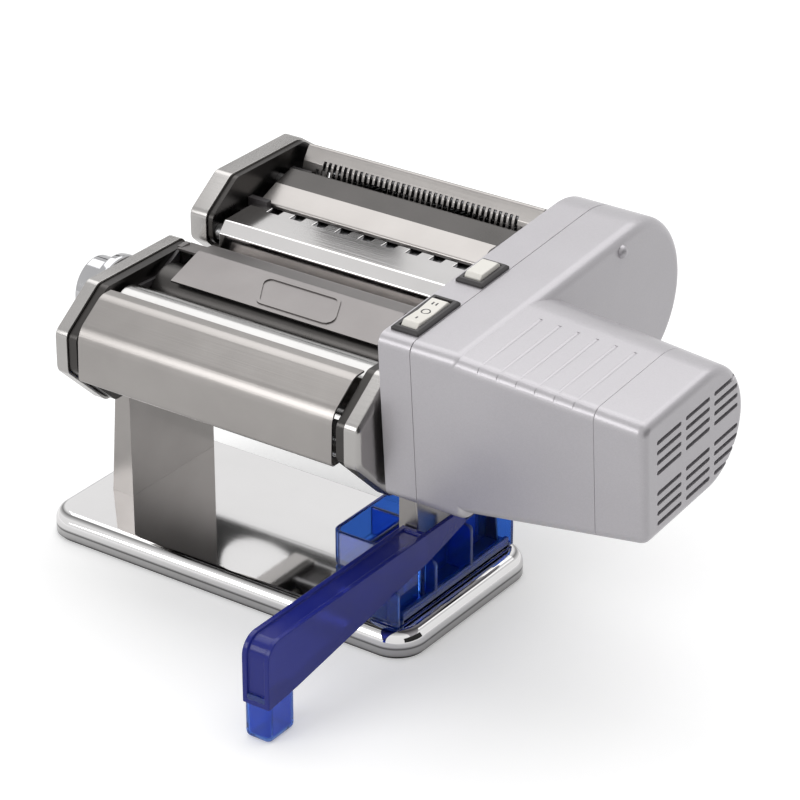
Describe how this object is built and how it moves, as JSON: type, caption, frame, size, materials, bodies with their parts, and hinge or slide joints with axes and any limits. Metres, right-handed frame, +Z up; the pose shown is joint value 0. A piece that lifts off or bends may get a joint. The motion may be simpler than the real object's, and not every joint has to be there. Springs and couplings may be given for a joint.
{
  "type": "electric pasta maker",
  "caption": "Steel pasta rolling head on a flat base with a thickness knob, a rear cutter attachment for wide and narrow ribbons, a side motor unit and a plug-in stabiliser arm.",
  "frame": {"origin": "middle of the base pad's underside, on the surface that the machine stands on", "axes": "+X along the rollers towards the motor unit, +Y from the front to the cutter attachment at the back, +Z up"},
  "size_m": [0.318, 0.2662, 0.1648],
  "materials": {
    "polished_steel": "polished, mirror-like",
    "nickel_sheet": "warm grey plated sheet, soft mirror",
    "bright_cheek": "bright plated",
    "roller_steel": "ground and plated",
    "machined_steel": "turned or cut, satin",
    "copper_winding": "varnished winding on a steel core",
    "rubber_pad": "matt",
    "black_plastic": "fine grain",
    "nylon": "natural, satin",
    "silver_plastic": "silver lacquered, satin gloss",
    "cream_plastic": "smooth",
    "blue_plastic": "translucent, glossy"
  },
  "bodies": {
    "frame": {"base_plate": "polished_steel", "base_pad": "rubber_pad", "left_leg": "nickel_sheet", "right_leg": "nickel_sheet", "leg_screws": "machined_steel", "left_side_plate": "nickel_sheet", "right_side_plate": "nickel_sheet", "left_cheek": "bright_cheek", "right_cheek": "bright_cheek", "front_cover": "nickel_sheet", "guide_plate": "nickel_sheet", "rear_cover": "nickel_sheet", "tie_rods": "machined_steel", "scrapers": "machined_steel", "bushes": "nylon", "side_guards": "black_plastic", "cutter_left_cheek": "bright_cheek", "cutter_right_cheek": "bright_cheek", "cutter_plates": "nickel_sheet", "cutter_front_cover": "nickel_sheet", "cutter_divider": "nickel_sheet", "cutter_rear_cover": "nickel_sheet", "cutter_tie_rods": "machined_steel", "cutter_guards": "black_plastic", "wide_combs": "machined_steel", "narrow_combs": "machined_steel"},
    "knob": {"thickness_knob": "bright_cheek", "knob_camshaft": "machined_steel"},
    "carriage": {"carriage_blocks": "nylon"},
    "front_roller": {"front_roller": "roller_steel", "front_roller_gear": "machined_steel"},
    "rear_roller": {"rear_roller": "roller_steel", "rear_roller_gear": "machined_steel"},
    "wide_cutter_front": {"wide_cutter_front": "machined_steel", "wide_front_gear": "machined_steel"},
    "wide_cutter_rear": {"wide_cutter_rear": "machined_steel", "wide_rear_gear": "machined_steel"},
    "narrow_cutter_front": {"narrow_cutter_front": "machined_steel", "narrow_front_gear": "machined_steel"},
    "narrow_cutter_rear": {"narrow_cutter_rear": "machined_steel", "narrow_rear_gear": "machined_steel"},
    "motor_unit": {"gear_case_inner": "silver_plastic", "gear_case_outer": "silver_plastic", "pod_end_cap": "silver_plastic", "gear_plate": "nickel_sheet", "gear_pins": "machined_steel", "rocker_bezel": "black_plastic", "pulse_bezel": "black_plastic", "motor_stator": "machined_steel", "case_screws": "machined_steel", "cord_inlet": "rubber_pad"},
    "rotor": {"motor_rotor": "copper_winding", "cooling_fan": "black_plastic"},
    "reduction": {"reduction_gear": "nylon"},
    "roller_drive": {"roller_drive_gear": "machined_steel"},
    "idler": {"idler_gear": "nylon"},
    "cutter_drive": {"cutter_drive_gear": "machined_steel"},
    "rocker": {"rocker_switch": "cream_plastic"},
    "pulse": {"pulse_button": "cream_plastic"},
    "stabiliser": {"stabiliser": "blue_plastic"}
  },
  "joints": [
    {"name": "knob_turn", "type": "hinge", "parent": "frame", "child": "knob", "pos_m": [-0.09, -0.01, 0.1115], "axis": [1, 0, 0], "range_deg": [0, 270]},
    {"name": "nip_slide", "type": "slide", "parent": "frame", "child": "carriage", "axis": [0, -1, 0], "range_m": [0, 0.0024]},
    {"name": "front_roller_spin", "type": "hinge", "parent": "carriage", "child": "front_roller", "pos_m": [0, -0.0243, 0.1115], "axis": [1, 0, 0], "continuous": true},
    {"name": "rear_roller_spin", "type": "hinge", "parent": "frame", "child": "rear_roller", "pos_m": [0, 0.0043, 0.1115], "axis": [1, 0, 0], "continuous": true},
    {"name": "wide_front_spin", "type": "hinge", "parent": "frame", "child": "wide_cutter_front", "pos_m": [0, 0.05925, 0.123], "axis": [1, 0, 0], "continuous": true},
    {"name": "wide_rear_spin", "type": "hinge", "parent": "frame", "child": "wide_cutter_rear", "pos_m": [0, 0.07675, 0.123], "axis": [1, 0, 0], "continuous": true},
    {"name": "narrow_front_spin", "type": "hinge", "parent": "frame", "child": "narrow_cutter_front", "pos_m": [0, 0.09675, 0.123], "axis": [1, 0, 0], "continuous": true},
    {"name": "narrow_rear_spin", "type": "hinge", "parent": "frame", "child": "narrow_cutter_rear", "pos_m": [0, 0.11425, 0.123], "axis": [1, 0, 0], "continuous": true},
    {"name": "unit_slide", "type": "slide", "parent": "frame", "child": "motor_unit", "axis": [1, 0, 0], "range_m": [0, 0.06]},
    {"name": "rotor_spin", "type": "hinge", "parent": "motor_unit", "child": "rotor", "pos_m": [0.147, 0.00578, 0.12365], "axis": [1, 0, 0], "continuous": true},
    {"name": "reduction_spin", "type": "hinge", "parent": "motor_unit", "child": "reduction", "pos_m": [0.102, -0.02008, 0.12898], "axis": [1, 0, 0], "continuous": true},
    {"name": "roller_drive_spin", "type": "hinge", "parent": "motor_unit", "child": "roller_drive", "pos_m": [0.092, 0.0043, 0.1115], "axis": [1, 0, 0], "continuous": true},
    {"name": "idler_spin", "type": "hinge", "parent": "motor_unit", "child": "idler", "pos_m": [0.095, 0.04183, 0.12534], "axis": [1, 0, 0], "continuous": true},
    {"name": "cutter_drive_spin", "type": "hinge", "parent": "motor_unit", "child": "cutter_drive", "pos_m": [0.092, 0.07675, 0.123], "axis": [1, 0, 0], "continuous": true},
    {"name": "rocker_tilt", "type": "hinge", "parent": "motor_unit", "child": "rocker", "pos_m": [0.0947, -0.02535, 0.15317], "axis": [1, 0, 0], "range_deg": [-12, 12]},
    {"name": "pulse_press", "type": "slide", "parent": "motor_unit", "child": "pulse", "axis": [0, 0.0758, -0.9971], "range_m": [0, 0.0025], "stiffness_N_per_m": 400, "springref_m": -0.002},
    {"name": "stabiliser_slide", "type": "slide", "parent": "frame", "child": "stabiliser", "axis": [1, 0, 0], "range_m": [0, 0.055]}
  ],
  "couplings": [
    {"joint": "knob_turn", "follows": "nip_slide", "rad_per_m": 1963.5},
    {"joint": "reduction_spin", "follows": "rotor_spin", "ratio": -0.22222},
    {"joint": "roller_drive_spin", "follows": "rotor_spin", "ratio": 0.074074},
    {"joint": "rear_roller_spin", "follows": "rotor_spin", "ratio": 0.074074},
    {"joint": "front_roller_spin", "follows": "rotor_spin", "ratio": -0.074074},
    {"joint": "idler_spin", "follows": "rotor_spin", "ratio": -0.095238},
    {"joint": "cutter_drive_spin", "follows": "rotor_spin", "ratio": 0.095238},
    {"joint": "wide_rear_spin", "follows": "rotor_spin", "ratio": 0.095238},
    {"joint": "wide_front_spin", "follows": "rotor_spin", "ratio": -0.095238},
    {"joint": "narrow_front_spin", "follows": "rotor_spin", "ratio": -0.095238},
    {"joint": "narrow_rear_spin", "follows": "rotor_spin", "ratio": 0.095238}
  ]
}
